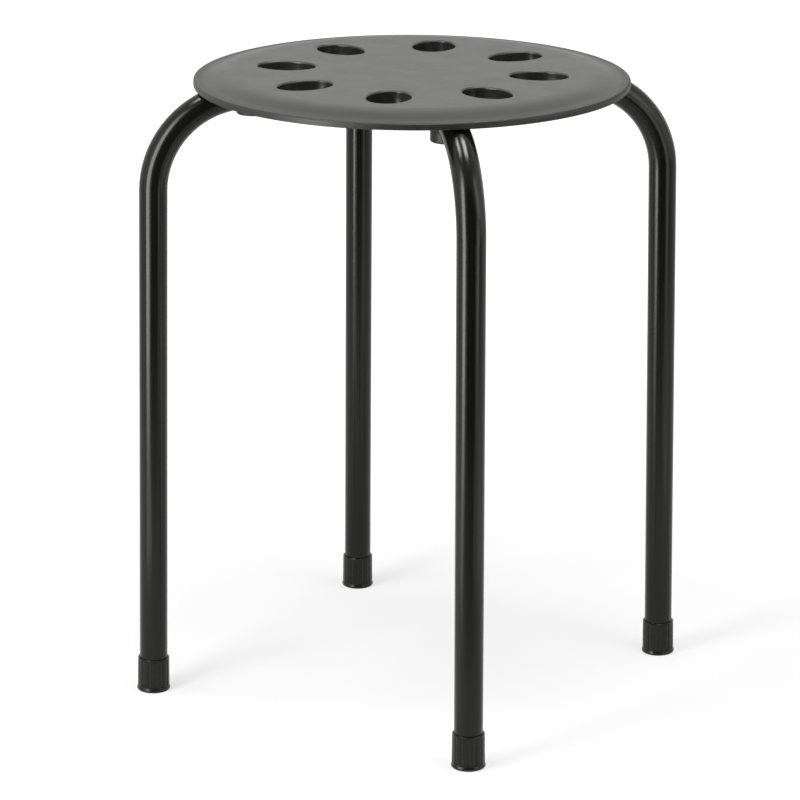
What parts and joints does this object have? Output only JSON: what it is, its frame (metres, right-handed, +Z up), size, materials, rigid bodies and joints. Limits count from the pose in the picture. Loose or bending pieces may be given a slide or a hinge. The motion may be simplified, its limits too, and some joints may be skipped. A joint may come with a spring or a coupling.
{
  "type": "stacking stool",
  "caption": "Backless stacking stool: round moulded seat with oval finger holes on bent steel tube legs that cross under the seat, with ribbed foot caps.",
  "frame": {"origin": "on the floor under the middle of the seat", "axes": "+Z up, front leg towards -Y, right leg towards +X"},
  "size_m": [0.4054, 0.4054, 0.45],
  "materials": {
    "seat_plastic": "fine matt grain, black",
    "frame_paint": "gloss black powder coat",
    "cap_plastic": "satin black, ribbed",
    "pad_plastic": "satin black",
    "fastener_steel": "zinc plated"
  },
  "bodies": {
    "root": {"seat": "seat_plastic", "leg_frame_front_back": "frame_paint", "leg_frame_left_right": "frame_paint", "foot_cap_front": "cap_plastic", "foot_cap_right": "cap_plastic", "foot_cap_back": "cap_plastic", "foot_cap_left": "cap_plastic", "stack_pad_front": "pad_plastic", "stack_pad_right": "pad_plastic", "stack_pad_back": "pad_plastic", "stack_pad_left": "pad_plastic", "seat_screw_front": "fastener_steel", "seat_screw_right": "fastener_steel", "seat_screw_back": "fastener_steel", "seat_screw_left": "fastener_steel", "crossing_bolt": "fastener_steel", "crossing_washer": "fastener_steel", "crossing_nut": "fastener_steel"}
  },
  "joints": []
}
